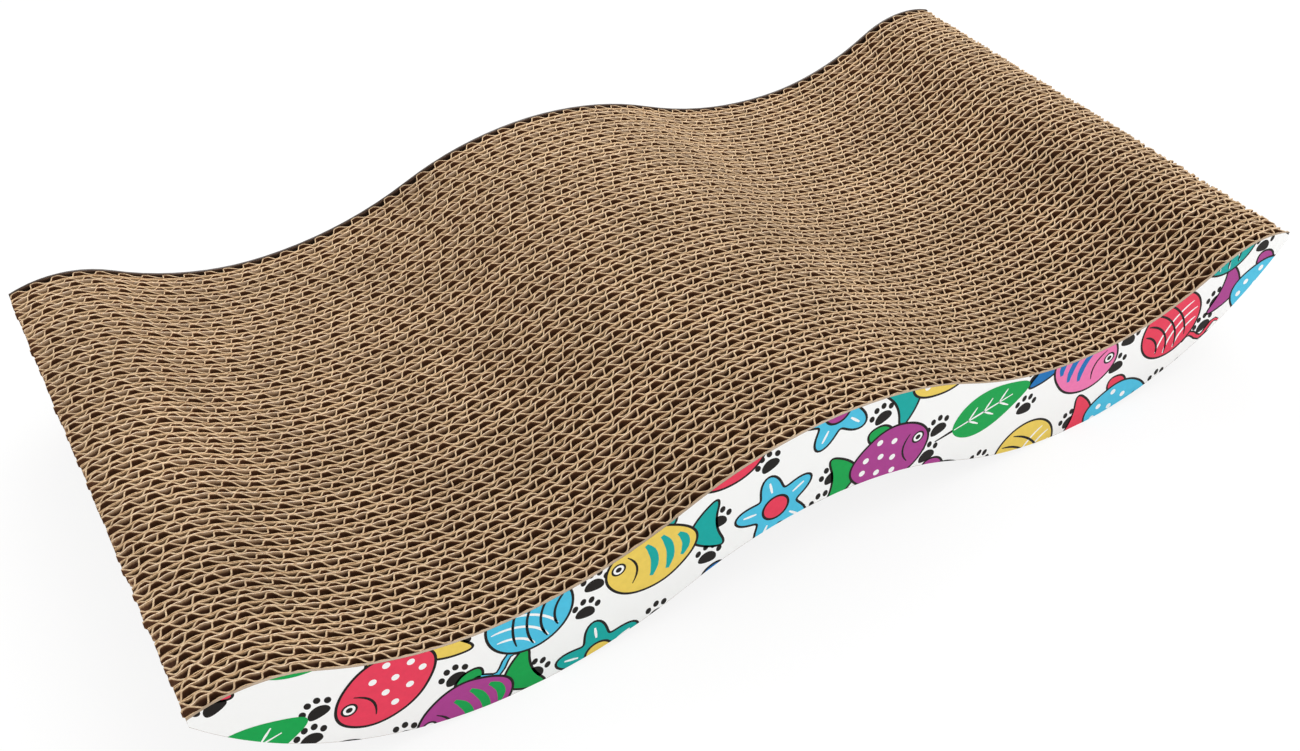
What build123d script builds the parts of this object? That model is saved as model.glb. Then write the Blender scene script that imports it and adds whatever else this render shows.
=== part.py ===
from build123d import *
import os
from math import ceil, hypot

# Wave-shaped scratcher: corrugated boards stand on edge, glued face to face between two printed panels.
# X runs along the length, Y through the stack from the front panel to the rear panel, and Z is up.
# The origin is on the floor under the middle of the block. All lengths are millimetres.

# Outline of the wave, the same for every board and panel
length = 436.0              # from tip to tip
tip_height = 3.0            # blunt cut at each tip
cradle_floor = 35.8         # floor to the lowest line of each cradle
cradle_spacing = 246.0      # between the lowest lines of the two cradles
hump_rise = 26.5            # middle hump above the cradles
hump_turn_share = 0.478     # where the hump's curve changes hand on its way to the cradle
crest_rise = 21.6           # end crests above the cradles
crest_inset = 15.0          # crest line back from the tip
crest_radius = 45.0
lobe_spacing = 238.0        # between the two lobes that stand on the floor
foot_cut = 0.15             # depth of the flat that each lobe stands on
arch_height = 25.2          # hollow under the middle hump
arch_turn_share = 0.482     # where the arch's curve changes hand on its way to the lobe

# Corrugated board, from its papers and flutes
liner_paper = 0.30
medium_paper = 0.25
large_flute_height = 3.1    # clear height between two liners
large_flute_pitch = 7.8
small_flute_height = 2.0
glue_film = 0.05            # glue between a flute tip and its liner

# Stack: double-wall boards with their large flutes to the front, then one single-wall closing board
board_count = 36
boards_per_block = 3        # neighbours that are one solid
boards_per_open_row = 6     # boards from one open row of large flutes to the next

# Printed panels
panel_thickness = 0.8

# Cuts run past the outline by this much
overrun = 1.0

double_wall = 3 * liner_paper + large_flute_height + small_flute_height
single_wall = 2 * liner_paper + large_flute_height
depth = 2 * panel_thickness + board_count * double_wall + single_wall
height = cradle_floor + max(hump_rise, crest_rise)


def along(start, end, share):
    """Point at a share of the way from one point to another."""
    return start + (end - start) * share


def wave_outline():
    """Face of the wave in the XZ plane: hump, cradles, crests, lobes and arch, joined by tangent arcs."""
    hump = Vector(0, cradle_floor + hump_rise)
    cradle = Vector(cradle_spacing / 2, cradle_floor)
    crest = Vector(length / 2 - crest_inset, cradle_floor + crest_rise)
    crest_drop = crest_radius - (crest_radius**2 - crest_inset**2) ** 0.5
    tip_top = crest + Vector(crest_inset, -crest_drop)
    tip_bottom = tip_top - Vector(0, tip_height)
    lobe = Vector(lobe_spacing / 2, -foot_cut)
    arch = Vector(0, arch_height)

    # Two arcs that are level at their far ends meet on the chord, which their radii share out
    climb = crest - cradle
    crest_turn_share = 1 - crest_radius / (climb.length**2 / (2 * climb.Y))
    hump_turn = along(hump, cradle, hump_turn_share)
    crest_turn = along(cradle, crest, crest_turn_share)
    arch_turn = along(arch, lobe, arch_turn_share)

    outward, inward = (1, 0), (-1, 0)
    with BuildSketch(Plane.XZ) as wave:
        with BuildLine():
            TangentArc(hump, hump_turn, tangent=outward)
            TangentArc(cradle, hump_turn, tangent=inward)
            TangentArc(cradle, crest_turn, tangent=outward)
            TangentArc(crest, crest_turn, tangent=inward)
            TangentArc(crest, tip_top, tangent=outward)
            Line(tip_top, tip_bottom)
            TangentArc(lobe, tip_bottom, tangent=outward)
            TangentArc(lobe, arch_turn, tangent=inward)
            TangentArc(arch, arch_turn, tangent=outward)
            mirror(about=Plane.YZ)
        make_face()
        # Flats under the lobes
        Rectangle(length, foot_cut + overrun, align=(Align.CENTER, Align.MAX), mode=Mode.SUBTRACT)
    return wave.sketch.face()


def layer(front, back):
    """Solid with the wave outline, from one plane of the stack to another."""
    return extrude(Pos(0, front, 0) * outline, amount=back - front, dir=(0, 1, 0))


def flute_sheet(front):
    """Zigzag medium of one open row: flat walls from fold to fold, as tall as the outline at each fold."""
    half_pitch = large_flute_pitch / 2
    paper = medium_paper * hypot(half_pitch, large_flute_height) / half_pitch
    swing = large_flute_height - 2 * glue_film - paper
    end = length / 2
    last_fold = ceil(end / half_pitch) - 1
    folds = [fold * half_pitch for fold in range(-last_fold, last_fold + 1)]
    sections = []
    for x in [-end, *folds, end]:
        cut = (outline & Line((x, 0, -overrun), (x, 0, height + overrun))).bounding_box()
        swing_share = abs(2 * (x / large_flute_pitch % 1) - 1)
        near = front + glue_film + swing * swing_share
        far = near + paper
        low, high = cut.min.Z, cut.max.Z
        sections.append([(x, near, low), (x, far, low), (x, far, high), (x, near, high)])

    faces = [Face(Wire.make_polygon(corners)) for corners in (sections[0], sections[-1])]
    for here, there in zip(sections, sections[1:]):
        for corner in range(len(here)):
            side = [here[corner - 1], here[corner], there[corner], there[corner - 1]]
            faces.append(Face(Wire.make_polygon(side)))
    return Solid(Shell(faces))


def save(name, solid):
    """Write one piece under its own name."""
    solid.label = name
    export_step(solid, f"parts/{name}.step")


os.makedirs("parts", exist_ok=True)
outline = wave_outline()
stack_front = panel_thickness - depth / 2

# Each panel is laminated to the outer liner of the board behind it
save("front_panel", layer(-depth / 2, stack_front + liner_paper))
for number in range(1, board_count + 1, boards_per_block):
    following = min(number + boards_per_block, board_count + 1)
    front = stack_front + (number - 1) * double_wall
    back = stack_front + (following - 1) * double_wall
    if (number - 1) % boards_per_open_row == 0:
        save(f"flute_sheet_{number:02d}", flute_sheet(front + liner_paper))
        front += liner_paper + large_flute_height
    if following > board_count or (following - 1) % boards_per_open_row == 0:
        # The liner of the open row behind is glued to this block
        back += liner_paper
    save(f"boards_{number:02d}_{following - 1:02d}", layer(front, back))

closing_row = stack_front + board_count * double_wall + liner_paper
save("closing_flute_sheet", flute_sheet(closing_row))
save("rear_panel", layer(closing_row + large_flute_height, depth / 2))
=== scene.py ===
"""Looks of a wave-shaped scratcher of corrugated cardboard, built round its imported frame.

X runs along the length, Y from the front panel to the rear panel, and Z is up. Lengths are metres.
"""

import logging
import math
import random
from collections.abc import Iterator
from dataclasses import dataclass, field
from enum import Enum

import bmesh
import bpy
import numpy as np
from mathutils import Euler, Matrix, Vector


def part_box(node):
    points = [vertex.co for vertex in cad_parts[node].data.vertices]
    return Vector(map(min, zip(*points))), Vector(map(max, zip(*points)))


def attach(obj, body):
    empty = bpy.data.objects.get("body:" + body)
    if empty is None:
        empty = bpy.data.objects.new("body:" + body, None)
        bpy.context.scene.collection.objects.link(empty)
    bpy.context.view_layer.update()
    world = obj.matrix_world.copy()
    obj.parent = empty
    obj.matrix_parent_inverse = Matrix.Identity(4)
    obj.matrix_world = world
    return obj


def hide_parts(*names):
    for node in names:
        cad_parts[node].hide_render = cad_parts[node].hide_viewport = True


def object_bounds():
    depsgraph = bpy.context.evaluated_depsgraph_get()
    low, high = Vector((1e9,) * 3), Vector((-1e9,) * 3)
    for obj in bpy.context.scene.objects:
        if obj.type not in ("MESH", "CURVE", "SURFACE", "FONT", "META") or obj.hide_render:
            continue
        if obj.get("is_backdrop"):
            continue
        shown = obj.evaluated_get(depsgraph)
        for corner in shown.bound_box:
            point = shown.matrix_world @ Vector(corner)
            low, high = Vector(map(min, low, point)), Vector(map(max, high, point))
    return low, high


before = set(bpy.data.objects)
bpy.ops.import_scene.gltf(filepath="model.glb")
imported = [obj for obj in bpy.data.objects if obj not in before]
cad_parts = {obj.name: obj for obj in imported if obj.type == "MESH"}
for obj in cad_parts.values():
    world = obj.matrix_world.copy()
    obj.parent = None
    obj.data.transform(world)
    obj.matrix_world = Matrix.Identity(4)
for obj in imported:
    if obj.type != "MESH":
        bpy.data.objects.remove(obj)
CAD_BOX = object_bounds()

MM = 0.001
BODY = "root"
WHITE = "#FFFFFF"
FULL = (0.0, 1.0)
NOISE_SPREAD = (0.3, 0.7)  # nearly all values of a noise texture are in here
log = logging.getLogger("scratcher")

Tree = bpy.types.NodeTree
Socket = bpy.types.NodeSocket
Sockets = bpy.types.bpy_prop_collection
Value = float | Socket


def linear(colour: str) -> tuple[float, float, float, float]:
    """Turn an sRGB hex colour into linear light.

    Args:
        colour: Colour such as "#C9AE86".

    Returns:
        Red, green, blue and an alpha of one.
    """
    channels = [int(colour[at:at + 2], 16) / 255 for at in (1, 3, 5)]
    red, green, blue = (c / 12.92 if c <= 0.04045 else ((c + 0.055) / 1.055) ** 2.4 for c in channels)
    return red, green, blue, 1.0


def add_node(tree: Tree, kind: str, inputs: dict | None = None, **settings: object) -> bpy.types.Node:
    """Add a node to a tree, with its settings, values and links.

    Args:
        tree: Shader or geometry tree that gets the node.
        kind: Blender's name for the type of node.
        inputs: Name or number of an input, with its value or the output that it is linked to.
        settings: Properties of the node.

    Returns:
        The new node.
    """
    node = tree.nodes.new(kind)
    for name, value in settings.items():
        setattr(node, name, value)
    for key, value in (inputs or {}).items():
        if isinstance(value, Socket):
            tree.links.new(value, node.inputs[key])
        else:
            node.inputs[key].default_value = value
    return node


def calc(tree: Tree, operation: str, *values: Value) -> Socket:
    """Output of a math node."""
    return add_node(tree, "ShaderNodeMath", dict(enumerate(values)), operation=operation).outputs[0]


def ranged(
    tree: Tree, value: Value, old: tuple[Value, Value], new: tuple[Value, Value] = FULL, smooth: bool = False
) -> Socket:
    """Output of a node that maps a value from one range to another and holds it there.

    Args:
        tree: Tree that gets the node.
        value: The value.
        old: Range that it comes from.
        new: Range that it goes to.
        smooth: Whether it eases in and out.

    Returns:
        Output with the mapped value.
    """
    inputs = dict(enumerate((value, *old, *new)))
    kind = "SMOOTHSTEP" if smooth else "LINEAR"
    return add_node(tree, "ShaderNodeMapRange", inputs, interpolation_type=kind).outputs[0]


def noise(tree: Tree, place: Socket, size: float, detail: float) -> Socket:
    """Output of a noise texture whose features are this many millimetres across."""
    inputs = {"Vector": place, "Scale": 1 / (size * MM), "Detail": detail}
    return add_node(tree, "ShaderNodeTexNoise", inputs).outputs["Fac"]


def vector(tree: Tree, x: Value = 0.0, y: Value = 0.0, z: Value = 0.0) -> Socket:
    """Output of a node that joins X, Y and Z."""
    return add_node(tree, "ShaderNodeCombineXYZ", {0: x, 1: y, 2: z}).outputs[0]


def split(tree: Tree, joined: Socket) -> Sockets:
    """Outputs of a node that takes X, Y and Z apart."""
    return add_node(tree, "ShaderNodeSeparateXYZ", {0: joined}).outputs


def vector_sum(tree: Tree, first: Socket, second: Socket) -> Socket:
    """Output of a node that adds two vectors."""
    return add_node(tree, "ShaderNodeVectorMath", {0: first, 1: second}, operation="ADD").outputs[0]


def scaled(tree: Tree, whole: Socket | tuple[float, ...], by: Value) -> Socket:
    """Output of a node that scales a vector or a colour."""
    return add_node(tree, "ShaderNodeVectorMath", {0: whole, "Scale": by}, operation="SCALE").outputs[0]


def blend(tree: Tree, share: Socket, first: Socket | tuple, second: Socket | tuple) -> Socket:
    """Output of a node that mixes two colours by the second one's share."""
    return add_node(tree, "ShaderNodeMix", {0: share, 6: first, 7: second}, data_type="RGBA").outputs[2]


def bumped(tree: Tree, height: Socket, strength: float, depth: float) -> Socket:
    """Output of a bump node whose relief is this many millimetres deep."""
    inputs = {"Strength": strength, "Distance": depth * MM, "Height": height}
    return add_node(tree, "ShaderNodeBump", inputs).outputs[0]


def object_place(tree: Tree) -> Socket:
    """Output with a shaded point's place on its object."""
    return add_node(tree, "ShaderNodeTexCoord").outputs["Object"]


def seen_directly(tree: Tree) -> Socket:
    """Output that is 1 for rays by which a surface is seen, and 0 for those by which it gives light."""
    path = add_node(tree, "ShaderNodeLightPath").outputs
    seen = calc(tree, "MAXIMUM", path["Is Camera Ray"], path["Is Glossy Ray"])
    return calc(tree, "MAXIMUM", seen, path["Is Transmission Ray"])


def cut_depth(tree: Tree) -> Socket:
    """Add the nodes that tell how far a point is below the nearer cut edge of its paper.

    Args:
        tree: Shader tree of a paper that carries the rise and half_height attributes.

    Returns:
        Output with the depth in metres.
    """
    rise, half = (
        add_node(tree, "ShaderNodeAttribute", attribute_name=name).outputs["Fac"]
        for name in ("rise", "half_height")
    )
    below = calc(tree, "SUBTRACT", 1.0, calc(tree, "ABSOLUTE", rise))
    return calc(tree, "MULTIPLY", below, half)


def new_material(name: str) -> bpy.types.Material:
    """Make a material with no nodes yet."""
    material = bpy.data.materials.new(name)
    material.use_nodes = True
    material.node_tree.nodes.clear()
    return material


def set_surface(tree: Tree, inputs: dict) -> None:
    """Add a Principled shader with these inputs, and the output it goes to."""
    shader = add_node(tree, "ShaderNodeBsdfPrincipled", inputs).outputs[0]
    add_node(tree, "ShaderNodeOutputMaterial", {"Surface": shader})


@dataclass(frozen=True)
class KraftPaper:
    """Recycled kraft paper, die-cut: pale torn fibres at the cut and a painted highlight just below it,
    browner faces, and painted shade that darkens the faces with depth.

    Painted light makes it paler towards the rear of the stack, where its painted highlight and shade reach
    to other depths. Sizes and depths are millimetres.
    """

    name: str
    face: str
    # Colour of the face where its painted shade is darkest
    deep_shade: str
    lit: float  # depth of the pale rim below the cut: torn fibres, and a painted highlight on the wall's top
    shade_depth: float  # depth at which the painted shade of the face is darkest
    cut: str
    cut_shade: str
    rear_light_reach: float  # both depths, of the painted highlight and shade, at the rear of the stack, as a share of those at the front
    fibre_size: float = 0.9  # coarser than real fibres, which wouldn't show from the camera
    fibre_detail: float = 3.0
    fibre_spread: tuple[float, float] = (0.32, 0.68)
    blotch_size: float = 34.0
    blotch_detail: float = 2.0
    blotch_tone: tuple[float, float] = (0.88, 1.06)
    painted_light_tone: tuple[float, float] = (1.05, 1.2)  # painted light, from the front of the stack to the rear
    bump: float = 0.35
    bump_depth: float = 0.15
    roughness: float = 0.93
    gloss: float = 0.2

    def material(self) -> bpy.types.Material:
        """Make the material.

        Returns:
            Kraft paper that darkens with its depth below the cut.
        """
        material = new_material(self.name)
        tree = material.node_tree
        place = object_place(tree)
        across = split(tree, place)[1]
        stack = (CAD_BOX[0].y, CAD_BOX[1].y)
        # Painted shade darkens the face with depth, and a painted highlight carries the cut's paler colour
        # down the wall's top; both reach to other depths towards the rear
        reach = ranged(tree, across, stack, (1.0, self.rear_light_reach))
        depth = calc(tree, "DIVIDE", cut_depth(tree), reach)
        shade_share = ranged(tree, depth, (0.0, self.shade_depth * MM), smooth=True)
        inside = ranged(tree, depth, (0.0, self.lit * MM), smooth=True)

        fibre = noise(tree, place, self.fibre_size, self.fibre_detail)
        torn = ranged(tree, fibre, self.fibre_spread)
        cut = blend(tree, torn, linear(self.cut_shade), linear(self.cut))
        face = blend(tree, shade_share, linear(self.face), linear(self.deep_shade))
        paper = blend(tree, inside, cut, face)
        blotch = noise(tree, place, self.blotch_size, self.blotch_detail)
        tone = ranged(tree, blotch, NOISE_SPREAD, self.blotch_tone)
        # Painted light: paler towards the rear of the stack
        tone = calc(tree, "MULTIPLY", tone, ranged(tree, across, stack, self.painted_light_tone))
        set_surface(tree, {
            "Base Color": scaled(tree, paper, tone),
            "Roughness": self.roughness,
            "Specular IOR Level": self.gloss,
            "Normal": bumped(tree, fibre, self.bump, self.bump_depth),
        })
        return material


OUTER_LINER = KraftPaper(
    "kraft_outer_liner", face="#B48B60", deep_shade="#412817", lit=0.9, shade_depth=1.3,
    cut="#C8AC89", cut_shade="#A4845F", rear_light_reach=1.8,
)
# Its pale cut and light face are partly a painted highlight on the lit top of the liner
MIDDLE_LINER = KraftPaper(
    "kraft_middle_liner", face="#D8B083", deep_shade="#694632", lit=0.9, shade_depth=1.7,
    cut="#DEC8AE", cut_shade="#C9A883", rear_light_reach=2.0,
)
MEDIUM = KraftPaper(
    "kraft_medium", face="#7E5538", deep_shade="#53341F", lit=0.36, shade_depth=1.2,
    cut="#C5AE8D", cut_shade="#9C8063", rear_light_reach=0.6,
)
# Painted shade: the last liner is painted dark, for the shade of the last flutes against the rear panel
SHADED_GLUED_LINER = KraftPaper(
    "kraft_glued_liner", face="#4A3527", deep_shade="#2A1B12", lit=0.5, shade_depth=1.2,
    cut="#5A4433", cut_shade="#3A2A1F", rear_light_reach=1.0,
)


@dataclass(frozen=True)
class CoatedStock:
    """Clay-coated white board for printing: smooth, softly glossy, with a grey-tan core at its cut edge.

    Sizes and depths are millimetres.
    """

    face: str = "#F6F6F5"
    core: str = "#948069"
    edge_line: float = 0.12
    film: float = 0.02
    grain_size: float = 1.6
    grain_detail: float = 4.0
    bump: float = 0.08
    bump_depth: float = 0.05
    roughness: tuple[float, float] = (0.44, 0.56)

    def material(self, face_y: float) -> bpy.types.Material:
        """Make the material.

        Args:
            face_y: Y of the coated face.

        Returns:
            White stock with a faint paper grain and its core showing at the cut and on the glued face.
        """
        material = new_material("white_coated_stock")
        tree = material.node_tree
        place = object_place(tree)
        at_cut = calc(tree, "LESS_THAN", cut_depth(tree), self.edge_line * MM)
        coated = calc(tree, "COMPARE", split(tree, place)[1], face_y, self.film * MM)
        core = calc(tree, "MAXIMUM", calc(tree, "SUBTRACT", 1.0, coated), at_cut)
        grain = noise(tree, place, self.grain_size, self.grain_detail)
        set_surface(tree, {
            "Base Color": blend(tree, core, linear(self.face), linear(self.core)),
            "Roughness": ranged(tree, grain, FULL, self.roughness),
            "Normal": bumped(tree, grain, self.bump, self.bump_depth),
        })
        return material


REAR_SHADED_CORE = "#33241A"  # painted shade: the rear panel's core, dark because its glued face lies in the shade of the last flutes


class Ink(Enum):
    """Inks of the panel print."""

    BLACK = "#15100D"
    WHITE = "#F6F6F5"
    TEAL = "#00A59F"
    YELLOW = "#EACB5B"
    PURPLE = "#A83C8C"
    SKY = "#4ABFE0"
    RED = "#E63B57"
    PINK = "#EC77AE"
    GREEN = "#00A04A"
    COBALT = "#0A70B5"


@dataclass(frozen=True)
class PrintedInk:
    """Offset ink on coated stock: an even film with a faint mottle, duller than the bare coating."""

    ink: Ink
    mottle_size: float = 2.4
    mottle_detail: float = 3.0
    mottle_tone: tuple[float, float] = (0.96, 1.03)
    roughness: float = 0.5
    gloss: float = 0.12

    def material(self) -> bpy.types.Material:
        """Make the material.

        Returns:
            The ink, slightly uneven where the paper takes it up.
        """
        material = new_material(f"offset_ink_{self.ink.name.lower()}")
        tree = material.node_tree
        mottle = noise(tree, object_place(tree), self.mottle_size, self.mottle_detail)
        tone = ranged(tree, mottle, NOISE_SPREAD, self.mottle_tone)
        set_surface(tree, {
            "Base Color": scaled(tree, linear(self.ink.value)[:3], tone),
            "Roughness": self.roughness,
            "Specular IOR Level": self.gloss,
        })
        return material


@dataclass(frozen=True)
class Paper:
    """One paper of a board or panel, as the fluted paper tree needs it."""

    middle: float  # Y that its flutes swing about
    thickness: float
    swing: float  # of its centre line, to each side
    pitch: float
    steps: int  # points along its length
    seed: int
    material: bpy.types.Material
    phase: float = 0.0
    shift: float = 0.0  # along X
    lean: float = 0.0  # along X for each metre of swing
    lean_spread: float = 0.0
    wander: float = 0.0
    fray: float = 0.0  # deepest tear below the outline
    crush: float = 0.0  # share of its swing that the flattest flutes lose


@dataclass
class FlutedPaperTree:
    """Geometry nodes that stand one paper on edge in the wave outline, flat or corrugated along X.

    Sizes of noise features are millimetres.
    """

    outline: bpy.types.Object
    outline_y: float
    length: float
    half_depth: float
    tear_size: float = 3.0
    tear_detail: float = 3.0
    lane_step: float = 0.37  # between the lanes of two seeds in the noise
    bands_per_scale: float = 20 / math.tau  # of Blender's wave texture
    wave_distortion: float = 1.2
    wave_detail: float = 1.0
    wave_detail_scale: float = 1.2
    # These two make steep flanks, with the rear tips broader than the front ones
    wave_spread: tuple[float, float] = (-0.04, 0.98)
    swing_spread: tuple[float, float] = (-1.01, 1.0)
    press_size: float = 14.0
    press_detail: float = 1.0
    press_spread: tuple[float, float] = (0.5, 0.78)
    tilt_size: float = 8.0
    tilt_detail: float = 0.0
    drift_size: float = 26.0
    drift_detail: float = 2.0
    drift_margin: tuple[float, float] = (1.0 * MM, 14.0 * MM)  # from a panel
    ray_length: float = 2.0
    tree: Tree = field(init=False)
    sockets: dict[str, str] = field(init=False)

    def __post_init__(self) -> None:
        """Build the tree."""
        self.tree = bpy.data.node_groups.new("fluted_paper", "GeometryNodeTree")
        self.sockets = {}
        names = (
            "Geometry", "Outline", "Outline Y", "Length", "Half Depth", "Middle", "Thickness", "Swing",
            "Pitch", "Phase", "Steps", "Seed", "Shift", "Lean", "Lean Spread", "Wander", "Fray", "Crush",
            "Material",
        )
        kinds = {"Geometry": "Geometry", "Outline": "Object", "Material": "Material"}
        kinds |= {"Steps": "Int", "Seed": "Int"}
        interface = self.tree.interface
        for name in names:
            kind = f"NodeSocket{kinds.get(name, 'Float')}"
            self.sockets[name] = interface.new_socket(name, in_out="INPUT", socket_type=kind).identifier
        interface.new_socket("Geometry", in_out="OUTPUT", socket_type="NodeSocketGeometry")
        self._wire()

    def _position(self) -> Socket:
        """Output with a point's place before it is moved."""
        return add_node(self.tree, "GeometryNodeInputPosition").outputs[0]

    def _wire(self) -> None:
        """Add the nodes: a centre line bent to its flutes, and a slim box set along it up to the outline."""
        tree = self.tree
        given = add_node(tree, "NodeGroupInput").outputs
        line = self._centre_line(given)
        size = vector(tree, given["Length"], 1.0, 1.0)
        box = add_node(
            tree, "GeometryNodeMeshCube", {"Size": size, "Vertices X": given["Steps"]}
        ).outputs["Mesh"]
        x, side, level = split(tree, self._position())
        level = calc(tree, "MULTIPLY", level, 2.0)

        # Place and direction of the centre line beside each corner
        half = calc(tree, "MULTIPLY", given["Length"], 0.5)
        start = calc(tree, "MULTIPLY", half, -1.0)
        last = calc(tree, "SUBTRACT", given["Steps"], 1.0)
        number = calc(tree, "ROUND", ranged(tree, x, (start, half), (0.0, last)))
        point, along = (
            add_node(
                tree,
                "GeometryNodeSampleIndex",
                {"Geometry": line, "Value": add_node(tree, kind).outputs[0], "Index": number},
                data_type="FLOAT_VECTOR",
            ).outputs[0]
            for kind in ("GeometryNodeInputPosition", "GeometryNodeInputTangent")
        )
        out = add_node(
            tree, "ShaderNodeVectorMath", {0: (0.0, 0.0, 1.0), 1: along}, operation="CROSS_PRODUCT"
        ).outputs[0]
        thick = calc(tree, "MULTIPLY", side, given["Thickness"])
        flat = vector_sum(tree, point, scaled(tree, out, thick))

        # Height of the outline's top or bottom edge here, less a frayed margin
        back = calc(tree, "MULTIPLY", level, -1.0)
        edge = self._edge_height(given, x, level)
        span = calc(tree, "SUBTRACT", edge, self._edge_height(given, x, back))
        half_height = calc(tree, "MULTIPLY", calc(tree, "ABSOLUTE", span), 0.5)
        rough_at = vector_sum(tree, point, vector(tree, z=level))
        torn = noise(tree, rough_at, self.tear_size, self.tear_detail)
        torn = ranged(tree, torn, NOISE_SPREAD, (0.0, given["Fray"]))
        tall = calc(tree, "MULTIPLY_ADD", torn, back, edge)
        moved = vector_sum(tree, flat, vector(tree, x=given["Shift"], z=tall))

        for name, value in (("rise", level), ("half_height", half_height)):
            box = add_node(
                tree,
                "GeometryNodeStoreNamedAttribute",
                {"Geometry": box, "Name": name, "Value": value},
                data_type="FLOAT",
                domain="POINT",
            ).outputs[0]
        stood = add_node(tree, "GeometryNodeSetPosition", {"Geometry": box, "Position": moved}).outputs[0]
        real = add_node(tree, "GeometryNodeRealizeInstances", {0: stood}).outputs[0]
        dressed = add_node(
            tree, "GeometryNodeSetMaterial", {"Geometry": real, "Material": given["Material"]}
        ).outputs[0]
        joined = add_node(tree, "GeometryNodeJoinGeometry", {0: given["Geometry"]})
        tree.links.new(dressed, joined.inputs[0])
        add_node(tree, "NodeGroupOutput", {0: joined.outputs[0]})

    def _edge_height(self, given: Sockets, x: Socket, side: Socket) -> Socket:
        """Add the nodes that find one edge of the outline.

        Args:
            given: The tree's inputs.
            x: Place along the length.
            side: 1 for the top edge and -1 for the bottom edge.

        Returns:
            Output with the height of that edge.
        """
        tree = self.tree
        target = add_node(
            tree, "GeometryNodeObjectInfo", {"Object": given["Outline"]}, transform_space="RELATIVE"
        ).outputs["Geometry"]
        ray = {
            "Target Geometry": target,
            "Source Position": vector(tree, x, given["Outline Y"], side),
            "Ray Direction": vector(tree, z=calc(tree, "MULTIPLY", side, -1.0)),
            "Ray Length": self.ray_length,
        }
        hit = add_node(tree, "GeometryNodeRaycast", ray).outputs["Hit Position"]
        return split(tree, hit)[2]

    def _centre_line(self, given: Sockets) -> Socket:
        """Add the nodes of the paper's centre line, seen from above.

        Args:
            given: The tree's inputs.

        Returns:
            Output with the bent line.
        """
        tree = self.tree
        end = vector(tree, calc(tree, "MULTIPLY", given["Length"], 0.5))
        ends = {"Start": scaled(tree, end, -1.0), "End": end}
        straight = add_node(tree, "GeometryNodeCurvePrimitiveLine", ends).outputs[0]
        stepped = add_node(
            tree, "GeometryNodeResampleCurve", {"Curve": straight, "Count": given["Steps"]}
        ).outputs[0]
        x = split(tree, self._position())[0]

        # A lane of its own in the noise for each row
        seeded = vector(tree, x, calc(tree, "MULTIPLY", given["Seed"], self.lane_step))
        flutes = {
            "Vector": seeded,
            "Scale": calc(tree, "DIVIDE", 1 / self.bands_per_scale, given["Pitch"]),
            "Distortion": self.wave_distortion,
            "Detail": self.wave_detail,
            "Detail Scale": self.wave_detail_scale,
            "Phase Offset": given["Phase"],
        }
        wave = add_node(tree, "ShaderNodeTexWave", flutes).outputs["Fac"]
        swung = ranged(tree, wave, self.wave_spread, self.swing_spread, smooth=True)

        # Some flutes were pressed flatter
        uneven = noise(tree, seeded, self.press_size, self.press_detail)
        pressed = ranged(tree, uneven, self.press_spread, (0.0, given["Crush"]))
        kept = calc(tree, "SUBTRACT", 1.0, pressed)
        across = calc(tree, "MULTIPLY", swung, calc(tree, "MULTIPLY", given["Swing"], kept))

        # Most lean the same way, some more than others
        tilt = noise(tree, seeded, self.tilt_size, self.tilt_detail)
        tilt = ranged(tree, tilt, NOISE_SPREAD, (-1.0, 1.0))
        lean = calc(tree, "MULTIPLY_ADD", tilt, given["Lean Spread"], given["Lean"])
        new_x = calc(tree, "SUBTRACT", x, calc(tree, "MULTIPLY", across, lean))
        flat_y = calc(tree, "ADD", across, given["Middle"])

        # The whole stack wanders a little together, less towards the flat panels
        drift = noise(tree, vector(tree, x, flat_y), self.drift_size, self.drift_detail)
        drift = ranged(tree, drift, FULL, (-1.0, 1.0))
        out = calc(tree, "ABSOLUTE", given["Middle"])
        to_panel = calc(tree, "SUBTRACT", given["Half Depth"], out)
        free = ranged(tree, to_panel, self.drift_margin, smooth=True)
        drift = calc(tree, "MULTIPLY", drift, free)
        bent = vector(tree, new_x, calc(tree, "MULTIPLY_ADD", drift, given["Wander"], flat_y))
        return add_node(tree, "GeometryNodeSetPosition", {"Geometry": stepped, "Position": bent}).outputs[0]

    def piece(self, name: str, papers: list[Paper]) -> bpy.types.Object:
        """Make one piece of several papers as a plain mesh.

        Args:
            name: Name of the piece.
            papers: Its papers, front to back.

        Returns:
            The finished object, at the origin.
        """
        piece = bpy.data.objects.new(name, bpy.data.meshes.new(name))
        bpy.context.scene.collection.objects.link(piece)
        for paper in papers:
            values = {
                "Outline": self.outline, "Outline Y": self.outline_y, "Length": self.length,
                "Half Depth": self.half_depth, "Middle": paper.middle, "Thickness": paper.thickness,
                "Swing": paper.swing, "Pitch": paper.pitch, "Phase": paper.phase,
                "Steps": paper.steps, "Seed": paper.seed, "Shift": paper.shift, "Lean": paper.lean,
                "Lean Spread": paper.lean_spread, "Wander": paper.wander, "Fray": paper.fray,
                "Crush": paper.crush, "Material": paper.material,
            }
            modifier = piece.modifiers.new("paper", "NODES")
            modifier.node_group = self.tree
            for key, value in values.items():
                modifier[self.sockets[key]] = value
        shaped = piece.evaluated_get(bpy.context.evaluated_depsgraph_get())
        mesh = bpy.data.meshes.new_from_object(shaped)
        mesh.name = name
        piece.modifiers.clear()
        piece.data = mesh
        return piece


@dataclass(frozen=True)
class Flute:
    """One size of corrugation."""

    pitch: float
    height: float
    lean_share: float  # of the stack's lean
    steps_per_pitch: int


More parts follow.
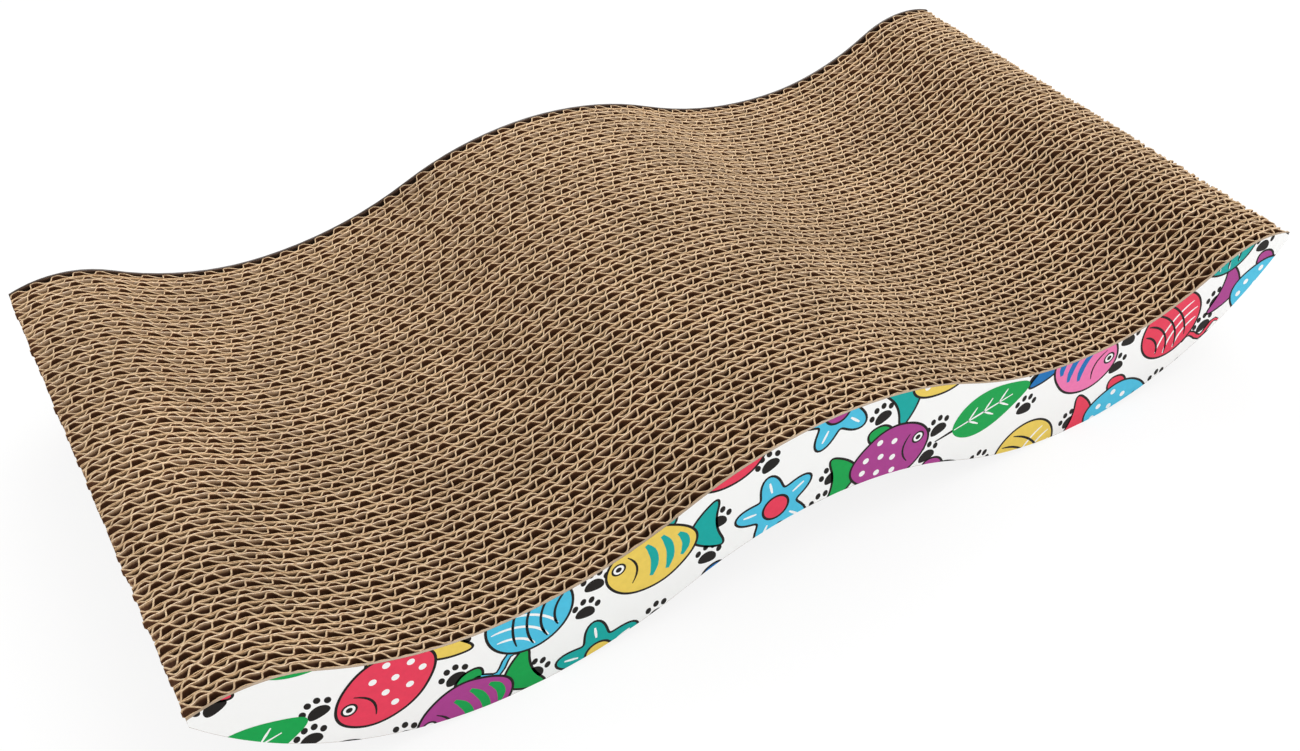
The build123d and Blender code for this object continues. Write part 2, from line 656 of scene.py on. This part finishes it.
@dataclass
class BoardStack:
    """Corrugated boards on edge: double-wall ones with large flutes to the front, then a single-wall one."""

    paper_tree: FlutedPaperTree
    front: float
    board_count: int = 36
    boards_per_block: int = 3
    liner: float = 0.30 * MM
    drawn_liner: float = 0.30 * MM
    drawn_medium: float = 0.50 * MM  # twice the real paper, which looks thicker for its torn fuzz
    swing_loss: float = 0.25  # share of a medium's thickness, so that its tips about meet the rippled liners
    large: Flute = Flute(7.8 * MM, 3.1 * MM, 1.0, 18)
    small: Flute = Flute(6.5 * MM, 2.0 * MM, 0.4, 14)
    liner_step: float = 1.1 * MM
    liner_ripple: float = 0.2 * MM
    lean: float = 0.28
    lean_spread: float = 0.22
    lean_by_y: float = 0.3  # more lean for each metre towards the rear
    wander: float = 0.6 * MM
    fray: float = 0.62 * MM
    rear_wear_share: float = 0.45  # of the wear at the front
    crush: float = 0.16
    stagger: float = 0.2 * MM
    seed: int = 11
    outer_paper: bpy.types.Material = field(default_factory=OUTER_LINER.material)
    middle_paper: bpy.types.Material = field(default_factory=MIDDLE_LINER.material)
    medium_paper: bpy.types.Material = field(default_factory=MEDIUM.material)
    shaded_glued_paper: bpy.types.Material = field(default_factory=SHADED_GLUED_LINER.material)

    def papers(self, front: float, number: int, shift: float, double: bool) -> Iterator[Paper]:
        """List the papers of one board.

        Args:
            front: Y of the board's front face.
            number: The board's number, from one.
            shift: How far the board stands off along X.
            double: Whether it has a second, smaller row of flutes.

        Yields:
            Liners and mediums, front to back. A liner ripples with the flutes that press on it.
        """
        length = self.paper_tree.length
        # The stack is centred, so this runs from 0 at its front to about 1 at its rear
        rear_share = (front - self.front) / (-2 * self.front)
        wear = 1 + (self.rear_wear_share - 1) * rear_share
        fuzzy = self.drawn_medium * (1 + wear) / 2
        lean = self.lean + self.lean_by_y * front
        rows = [self.large, self.small] if double else [self.large]
        at = front
        for place, row in enumerate(rows):
            seed = number * 2 + place
            phase = random.Random(self.seed + seed).uniform(0, math.tau)
            common = {"phase": phase, "shift": shift, "wander": self.wander, "fray": self.fray * wear}
            liners = [(at, self.middle_paper if place else self.outer_paper)]
            if row is rows[-1]:
                last_paper = self.outer_paper if double else self.shaded_glued_paper
                liners.append((at + self.liner + row.height, last_paper))
            for liner_front, paper in liners:
                yield Paper(
                    liner_front + self.liner / 2, self.drawn_liner, self.liner_ripple * wear, row.pitch,
                    round(length / self.liner_step), seed, paper, **common,
                )
            at += self.liner
            yield Paper(
                at + row.height / 2, fuzzy, (row.height - fuzzy * self.swing_loss) / 2, row.pitch,
                round(length / row.pitch * row.steps_per_pitch), seed, self.medium_paper,
                lean=row.lean_share * lean, lean_spread=self.lean_spread, crush=self.crush, **common,
            )
            at += row.height

    def nodes(self, number: int) -> list[str]:
        """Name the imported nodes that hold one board."""
        first = (number - 1) // self.boards_per_block * self.boards_per_block + 1
        block = f"boards_{first:02d}_{first + self.boards_per_block - 1:02d}"
        sheet = f"flute_sheet_{number:02d}"
        return [name for name in (block, sheet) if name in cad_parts]

    def build(self) -> Iterator[bpy.types.Object]:
        """Make every board.

        Yields:
            One finished piece a board, front to back.
        """
        draw = random.Random(self.seed)
        thickness = 3 * self.liner + self.large.height + self.small.height
        for number in range(1, self.board_count + 2):
            closing = number > self.board_count
            shift = draw.uniform(-self.stagger, self.stagger)
            front = self.front + (number - 1) * thickness
            papers = list(self.papers(front, number, shift, not closing))
            name = "closing_board" if closing else f"board_{number:02d}"
            piece = self.paper_tree.piece(name, papers)
            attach(piece, BODY)
            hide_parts(*(["closing_flute_sheet"] if closing else self.nodes(number)))
            yield piece


@dataclass
class WaveOutline:
    """Top and bottom edges of the wave, read from a packed panel."""

    panel: bpy.types.Object
    least_slope: float = 0.1  # Z of the normal of a face that counts as an edge
    digits: int = 7
    lines: dict[bool, np.ndarray] = field(init=False)

    def __post_init__(self) -> None:
        """Collect the points of the upward and the downward faces."""
        self.lines = {}
        mesh = self.panel.data
        for top in (True, False):
            up = 1 if top else -1
            found = {
                tuple(round(value, self.digits) for value in mesh.vertices[v].co.xz)
                for face in mesh.polygons
                if up * face.normal.z > self.least_slope
                for v in face.vertices
            }
            self.lines[top] = np.array(sorted(found)).T

    def height(self, x: float, top: bool) -> float:
        """Height of the top or bottom edge at a place along X."""
        return float(np.interp(x, *self.lines[top]))

    def share(self, x: float, z: float) -> float:
        """How far up a point is, from 0 at the bottom edge to 1 at the top edge."""
        low, high = self.height(x, False), self.height(x, True)
        return (z - low) / (high - low)

    def inside(self, points: list[Vector], step: float) -> list[Vector]:
        """Clip a closed outline to the wave.

        Args:
            points: Outline in X and Z, with its points close together.
            step: Spacing of new points along the wave's edge.

        Returns:
            What is left, or no points.
        """
        reach = self.lines[True][0]
        kept = [p for p in points if reach[0] < p.x < reach[-1]]
        for top in (True, False):
            kept = self._clip(kept, top, step)
        return kept

    def _clip(self, points: list[Vector], top: bool, step: float) -> list[Vector]:
        """Cut off what is past one edge, and follow that edge where it was cut."""
        limit = 1.0 if top else 0.0
        signed = [(limit - self.share(*p)) * (1 if top else -1) for p in points]
        kept: list[Vector] = []
        left_at: float | None = None
        entered_first: float | None = None
        for here, there, d_here, d_there in zip(
            points, points[1:] + points[:1], signed, signed[1:] + signed[:1]
        ):
            if d_here >= 0:
                kept.append(here)
            if (d_here >= 0) == (d_there >= 0):
                continue
            cross = here.lerp(there, d_here / (d_here - d_there))
            if d_here >= 0:
                left_at = cross.x
                kept.append(Vector((cross.x, self.height(cross.x, top))))
            else:
                if left_at is None:
                    entered_first = cross.x
                else:
                    kept += self._edge(left_at, cross.x, top, step)
                kept.append(Vector((cross.x, self.height(cross.x, top))))
        if left_at is not None and entered_first is not None:
            kept += self._edge(left_at, entered_first, top, step)
        return kept

    def _edge(self, start: float, end: float, top: bool, step: float) -> list[Vector]:
        """Points of an edge strictly between two places along X."""
        count = max(1, round(abs(end - start) / step))
        places = [start + (end - start) * k / count for k in range(1, count)]
        return [Vector((x, self.height(x, top))) for x in places]


@dataclass(frozen=True)
class Shape:
    """One flat inked shape of a motif, in millimetres about the motif's middle."""

    ink: Ink
    points: list[Vector]
    layer: int


def rounded(points: list[tuple[float, float]], rounds: int = 4) -> list[Vector]:
    """Round a closed outline by cutting its corners.

    Args:
        points: Corner points.
        rounds: How often each corner is cut.

    Returns:
        Points of the rounded outline.
    """
    line = [Vector(p) for p in points]
    for _ in range(rounds):
        ends = zip(line, line[1:] + line[:1])
        line = [a.lerp(b, share) for a, b in ends for share in (0.25, 0.75)]
    return line


def polar(radius: float, angle: float) -> Vector:
    """Point at a distance from the middle, in a direction."""
    return Vector((radius * math.cos(angle), radius * math.sin(angle)))


def oval(
    width: float, height: float, middle: tuple[float, float] = (0, 0), points: int = 40
) -> list[Vector]:
    """Ellipse about a point, with its full width and height."""
    ring = [polar(0.5, math.tau * k / points) for k in range(points)]
    return [Vector((middle[0] + p.x * width, middle[1] + p.y * height)) for p in ring]


def grown(points: list[Vector], by: float) -> list[Vector]:
    """Outline moved outwards by a distance, for a line drawn round a shape."""
    moved = []
    for before, here, after in zip(points[-1:] + points[:-1], points, points[1:] + points[:1]):
        along = (after - before).normalized()
        moved.append(here + Vector((along.y, -along.x)) * by)
    return moved


def stroke(points: list[Vector], width: float, tip: float = 0.45, gain: float = 0.25) -> list[Vector]:
    """Draw a line that tapers at its ends.

    Args:
        points: Its centre line.
        width: Its full width.
        tip: Share of the width at each end.
        gain: What each point further in adds to that share, up to the full width.

    Returns:
        Points of its closed outline.
    """
    left, right = [], []
    last = len(points) - 1
    for number, here in enumerate(points):
        along = (points[min(number + 1, last)] - points[max(number - 1, 0)]).normalized()
        taper = min(1.0, tip + gain * min(number, last - number))
        out = Vector((along.y, -along.x)) * (width / 2 * taper)
        left.append(here + out)
        right.append(here - out)
    return left + right[::-1]


class Motif(Enum):
    """Large motifs of the print."""

    FISH = "fish"
    YARN = "yarn"
    FLOWER = "flower"
    LEAF = "leaf"


@dataclass(frozen=True)
class MotifBook:
    """Drawings of the print's motifs in flat inks, most with a black line round them, in millimetres."""

    line: float = 0.9

    def drawn(self, kind: Motif, ink: Ink, accent: Ink, dotted: bool) -> list[Shape]:
        """Draw one of the large motifs.

        Args:
            kind: Which one.
            ink: Its main colour.
            accent: Its second colour.
            dotted: White dots on a fish, and not stripes.

        Returns:
            Its shapes.
        """
        if kind is Motif.FISH:
            return self.fish(ink, accent, dotted)
        if kind is Motif.YARN:
            return self.yarn(ink)
        if kind is Motif.FLOWER:
            return self.flower(ink, accent)
        return self.leaf(Ink.GREEN)

    def outlined(self, ink: Ink, points: list[Vector], layer: int) -> list[Shape]:
        """A shape in one ink with a black line round it."""
        half = self.line / 2
        return [Shape(Ink.BLACK, grown(points, half), layer), Shape(ink, grown(points, -half), layer + 1)]

    def bow(self, at: float, tall: float, depth: float, width: float) -> list[Vector]:
        """Upright curved line, bowed towards the tail."""
        steps = [k / 4 - 1 for k in range(9)]
        return stroke([Vector((at - depth * (1 - t * t), tall * t)) for t in steps], width)

    def fish(self, ink: Ink, accent: Ink, dotted: bool) -> list[Shape]:
        """A plump fish, dotted or striped."""
        tail = rounded([(-10, 0), (-15, 7), (-24, 12), (-20, 0), (-24, -12), (-15, -7)])
        fin = rounded([(4, 8), (-1, 16), (-9, 15), (-7, 8)])
        body = rounded([(19, 1), (13, 10), (0, 14), (-11, 7), (-15, 0), (-11, -7), (0, -13), (13, -10)])
        shapes = self.outlined(accent, tail, 0) + self.outlined(accent, fin, 0) + self.outlined(ink, body, 2)
        if dotted:
            spots = ((3, 6), (-3, 8), (-2, 1.5), (3, -1), (-8, 2.5), (-3, -5), (3.5, -7), (-9, -2.5))
            shapes += [Shape(Ink.WHITE, oval(2.4, 2.4, spot, 14), 4) for spot in spots]
        else:
            stripes = ((3, 7.0), (-2.5, 7.5), (-8, 5.0))
            shapes += [Shape(accent, self.bow(at, tall, 2.0, 2.8), 4) for at, tall in stripes]
        gill = self.bow(9.5, 6.0, 2.4, 0.8)
        shapes.append(Shape(Ink.BLACK, gill, 4))
        eye, rings = (13, 3), ((Ink.BLACK, 5.0), (Ink.WHITE, 3.6), (Ink.BLACK, 2.0))
        for layer, (ring, across) in enumerate(rings, 4):
            shapes.append(Shape(ring, oval(across, across, eye, 20), layer))
        return shapes

    def yarn(self, ink: Ink) -> list[Shape]:
        """A ball of yarn with its loose end."""
        radius, margin, half_turn = 14.0, 1.4, 40
        end = [Vector((7 + 1.8 * k, -12.5 + 2.4 * math.sin(0.9 * k))) for k in range(11)]
        shapes = [Shape(Ink.BLACK, stroke(end, 2.8), 0), Shape(ink, stroke(end, 1.3), 1)]
        shapes += self.outlined(ink, oval(2 * radius, 2 * radius, points=56), 2)
        for strand, middle, reaches in (
            (Ink.BLACK, Vector((-17, -9)), (11, 15.5, 20, 24.5)),
            (Ink.WHITE, Vector((15, -15)), (13, 17.5, 22)),
        ):
            toward = math.atan2(-middle.y, -middle.x)
            for reach in reaches:
                angles = [toward + math.pi * (k / half_turn - 1) for k in range(2 * half_turn + 1)]
                turn = [middle + polar(reach, angle) for angle in angles]
                inside = [p for p in turn if p.length < radius - margin]
                shapes.append(Shape(strand, stroke(inside, self.line), 4))
        return shapes

    def flower(self, ink: Ink, accent: Ink) -> list[Shape]:
        """A flower with five round petals."""
        count, points = 5, 90
        angles = [math.tau * k / points for k in range(points)]
        petals = [polar(11.5 + 3.5 * math.cos(count * angle), angle) for angle in angles]
        shapes = self.outlined(ink, petals, 0) + self.outlined(accent, oval(9.5, 9.5), 2)
        for k in range(count):
            vein = [polar(r, math.tau * k / count) for r in (7.2, 8.8, 10.4, 12.0)]
            shapes.append(Shape(Ink.WHITE, stroke(vein, 1.3), 2))
        return shapes

    def leaf(self, ink: Ink) -> list[Shape]:
        """A leaf with its veins."""
        blade = rounded([(-16, 0), (-9, 8), (2, 9), (15, 3.5), (19, 0), (15, -3.5), (2, -9), (-9, -8)])
        stem = [Vector((x, 0.0)) for x in (-22, -18, -14, -9, -3, 4, 11)]
        shapes = [Shape(Ink.BLACK, stroke(stem, 1.4), 0)] + self.outlined(ink, blade, 1)
        shapes.append(Shape(Ink.WHITE, stroke(stem[2:], self.line), 3))
        for x in (-8, -1.5, 5):
            for side in (-1, 1):
                vein = [Vector((x + k, side * k)) for k in range(5)]
                shapes.append(Shape(Ink.WHITE, stroke(vein, self.line), 3))
        return shapes

    def paw(self) -> list[Shape]:
        """A small black paw mark."""
        pad = rounded([(-3.4, -3.2), (3.4, -3.2), (3.2, 0.2), (0.0, 2.0), (-3.2, 0.2)], 3)
        toes = [oval(2.0, 2.7, at, 16) for at in ((-3.8, 1.6), (-1.4, 3.8), (1.4, 3.8), (3.8, 1.6))]
        return [Shape(Ink.BLACK, points, 0) for points in (pad, *toes)]


@dataclass
class PanelPrint:
    """All-over print of fish, yarn balls, flowers, leaves and paw marks, on a grid in millimetres."""

    outline: WaveOutline
    book: MotifBook = MotifBook()
    motif_scale: float = 1.08
    column: float = 46.0
    row: float = 31.0
    rows: int = 3
    first_row: float = 2.0
    tilt: float = 0.45  # radians
    jog: float = 2.0
    layer_step: float = 0.012 * MM
    edge_step: float = 1.5 * MM
    seed: int = 5
    motifs: tuple[Motif, ...] = (
        Motif.FISH, Motif.YARN, Motif.FISH, Motif.FLOWER, Motif.FISH, Motif.LEAF,
    )
    dotted: tuple[bool, ...] = (True, True, False, False)
    paws: tuple[tuple[float, float], ...] = ((0.5, 0.12), (0.42, -0.32))  # columns and rows from a motif
    inks: tuple[tuple[Ink, Ink], ...] = (
        (Ink.YELLOW, Ink.TEAL), (Ink.SKY, Ink.RED), (Ink.PURPLE, Ink.GREEN), (Ink.TEAL, Ink.YELLOW),
        (Ink.PINK, Ink.COBALT), (Ink.RED, Ink.YELLOW), (Ink.SKY, Ink.PURPLE),
    )

    def placed(self) -> Iterator[Shape]:
        """Lay the motifs out in staggered rows with paw marks between.

        Yields:
            Each shape, moved to its place on the panel, in metres.
        """
        draw = random.Random(self.seed)
        columns = math.ceil(self.outline.lines[True][0][-1] / MM / self.column)
        number = 0
        for row in range(self.rows):
            for column in range(-columns, columns + 1):
                x = (column + 0.5 * (row % 2)) * self.column
                z = self.first_row + row * self.row
                kind, inks, dotted = (
                    choices[number % len(choices)] for choices in (self.motifs, self.inks, self.dotted)
                )
                marks = [(0.0, 0.0, self.book.drawn(kind, *inks, dotted))]
                marks += [(across, up, self.book.paw()) for across, up in self.paws]
                for across, up, shapes in marks:
                    jogged = z + up * self.row + draw.uniform(-self.jog, self.jog)
                    middle = Vector((x + across * self.column, jogged))
                    turn = draw.uniform(-self.tilt, self.tilt)
                    flip = draw.choice((-1, 1))
                    for shape in shapes:
                        yield Shape(shape.ink, self._moved(shape.points, middle, turn, flip), shape.layer)
                number += 1

    def _moved(self, points: list[Vector], middle: Vector, turn: float, flip: int) -> list[Vector]:
        """Flip an outline if asked, turn it and move it to its place, from millimetres to metres."""
        cos, sin = self.motif_scale * math.cos(turn), self.motif_scale * math.sin(turn)
        turned = (Vector((p.x * flip * cos - p.y * sin, p.x * flip * sin + p.y * cos)) for p in points)
        moved = [(middle + p) * MM for p in turned]
        return moved[::flip]

    def build(self, name: str, face_y: float, outward: int) -> bpy.types.Object:
        """Make the print of one panel as flat inked faces.

        Args:
            name: Name of the piece.
            face_y: Y of the panel's outer face.
            outward: -1 on the front and 1 on the rear.

        Returns:
            The print as one mesh with a material for each ink.
        """
        inks = list(Ink)
        mesh = bpy.data.meshes.new(name)
        for ink in inks:
            mesh.materials.append(PrintedInk(ink).material())
        shell = bmesh.new()
        for shape in self.placed():
            points = self.outline.inside(shape.points, self.edge_step)
            if len(points) < 3:
                continue
            y = face_y + outward * self.layer_step * (shape.layer + 1)
            face = shell.faces.new([shell.verts.new((-outward * p.x, y, p.y)) for p in points])
            face.material_index = inks.index(shape.ink)
        shell.normal_update()
        bmesh.ops.triangulate(shell, faces=shell.faces[:], ngon_method="EAR_CLIP")
        shell.to_mesh(mesh)
        shell.free()
        piece = bpy.data.objects.new(name, mesh)
        bpy.context.scene.collection.objects.link(piece)
        return piece


@dataclass
class PrintedPanel:
    """Die-cut panel of white stock with the print on its outer face."""

    paper_tree: FlutedPaperTree
    side: str
    outward: int
    half_depth: float
    finish: CoatedStock
    thickness: float = 0.8 * MM
    step: float = 1.5 * MM

    def build(self, outline: WaveOutline) -> Iterator[bpy.types.Object]:
        """Make the stock and its print.

        Args:
            outline: Edges that the print is cut to.

        Yields:
            The panel, then its print.
        """
        face_y = self.outward * self.half_depth
        sheet = Paper(
            face_y - self.outward * self.thickness / 2, self.thickness, 0.0, 1.0,
            round(self.paper_tree.length / self.step), 0, self.finish.material(face_y),
        )
        panel = self.paper_tree.piece(f"{self.side}_panel_stock", [sheet])
        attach(panel, BODY)
        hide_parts(f"{self.side}_panel")
        yield panel
        inked = PanelPrint(outline).build(f"{self.side}_panel_print", face_y, self.outward)
        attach(inked, BODY)
        yield inked


@dataclass(frozen=True)
class Lamp:
    """A square softbox that points at the origin."""

    name: str
    power: float
    size: float
    place: tuple[float, float, float]


@dataclass
class Studio:
    """White floor and sky, soft lamps overhead and behind, and the camera at the photograph's place."""

    camera_place: Vector = field(default_factory=lambda: Vector((-224.75, -372.96, 376.42)) * MM)
    camera_turn: tuple[float, float, float] = (49.003, 0.528, -30.840)  # degrees
    lens: float = 39.27
    near_clip: float = 0.01
    floor_size: float = 6.0
    floor_colour: str = "#F4F4F3"
    floor_glow: float = 0.86  # share of plain white in what the camera sees of the floor
    sky: float = 0.72  # strength as a light, while it looks white
    lamps: tuple[Lamp, ...] = (
        Lamp("overhead_softbox", 12.3, 1.6, (0.3, -0.3, 1.5)),
        Lamp("rear_softbox", 7.0, 0.7, (0.35, 0.6, 0.75)),
    )

    def camera(self) -> None:
        """Place the camera."""
        data = bpy.data.cameras.new("photo_camera")
        data.lens = self.lens
        data.clip_start = self.near_clip
        camera = bpy.data.objects.new("photo_camera", data)
        camera.location = self.camera_place
        camera.rotation_euler = Euler([math.radians(a) for a in self.camera_turn])
        bpy.context.scene.collection.objects.link(camera)
        bpy.context.scene.camera = camera

    def floor(self) -> None:
        """Lay the floor, nearly white to the camera and with the object's soft shadow on it."""
        half = self.floor_size / 2
        mesh = bpy.data.meshes.new("floor")
        corners = [(-half, -half, 0), (half, -half, 0), (half, half, 0), (-half, half, 0)]
        mesh.from_pydata(corners, [], [range(len(corners))])
        material = new_material("white_paper_sweep")
        tree = material.node_tree
        share = calc(tree, "MULTIPLY", seen_directly(tree), self.floor_glow)
        matt = add_node(tree, "ShaderNodeBsdfDiffuse", {"Color": linear(self.floor_colour)}).outputs[0]
        white = add_node(tree, "ShaderNodeEmission", {"Color": linear(WHITE), "Strength": 1.0}).outputs[0]
        mixed = add_node(tree, "ShaderNodeMixShader", {0: share, 1: matt, 2: white}).outputs[0]
        add_node(tree, "ShaderNodeOutputMaterial", {"Surface": mixed})
        mesh.materials.append(material)
        floor = bpy.data.objects.new("floor", mesh)
        bpy.context.scene.collection.objects.link(floor)
        floor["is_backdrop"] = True

    def light(self) -> None:
        """Set the sky and hang the lamps."""
        scene = bpy.context.scene
        scene.view_settings.view_transform = "Standard"
        world = bpy.data.worlds.new("white_sky")
        scene.world = world
        world.use_nodes = True
        tree = world.node_tree
        tree.nodes.clear()
        strength = ranged(tree, seen_directly(tree), FULL, (self.sky, 1.0))
        sky = add_node(
            tree, "ShaderNodeBackground", {"Color": linear(WHITE), "Strength": strength}
        ).outputs[0]
        add_node(tree, "ShaderNodeOutputWorld", {"Surface": sky})
        for lamp in self.lamps:
            data = bpy.data.lights.new(lamp.name, "AREA")
            data.energy = lamp.power
            data.size = lamp.size
            softbox = bpy.data.objects.new(lamp.name, data)
            softbox.location = lamp.place
            softbox.rotation_euler = (-softbox.location).to_track_quat("-Z", "Y").to_euler()
            scene.collection.objects.link(softbox)


def write_sizes() -> None:
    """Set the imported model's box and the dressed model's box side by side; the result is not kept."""
    boxes = {"cad": CAD_BOX, "visual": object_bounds()}
    {name: [list(low), list(high)] for name, (low, high) in boxes.items()}


def main() -> None:
    """Build the stage, the boards and the panels, and report each piece."""
    logging.basicConfig(level=logging.INFO, format="%(message)s")
    studio = Studio()
    studio.camera()
    studio.light()
    studio.floor()

    low, high = CAD_BOX
    half_depth = (high.y - low.y) / 2
    end_inset = 0.1 * MM  # keeps the last rays on the outline
    panel_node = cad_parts["front_panel"]
    panel_low, panel_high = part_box("front_panel")
    outline = WaveOutline(panel_node)
    paper_tree = FlutedPaperTree(
        outline=panel_node,
        outline_y=(panel_low.y + panel_high.y) / 2,
        length=high.x - low.x - end_inset,
        half_depth=half_depth,
    )
    panels = [
        PrintedPanel(paper_tree, "front", -1, half_depth, CoatedStock()),
        PrintedPanel(paper_tree, "rear", 1, half_depth, CoatedStock(core=REAR_SHADED_CORE)),
    ]
    stack = BoardStack(paper_tree, front=-half_depth + panels[0].thickness)
    for piece in stack.build():
        log.info("%s: %d faces", piece.name, len(piece.data.polygons))
    for panel in panels:
        for piece in panel.build(outline):
            log.info("%s: %d faces", piece.name, len(piece.data.polygons))
    write_sizes()


if __name__ == "__main__":
    main()
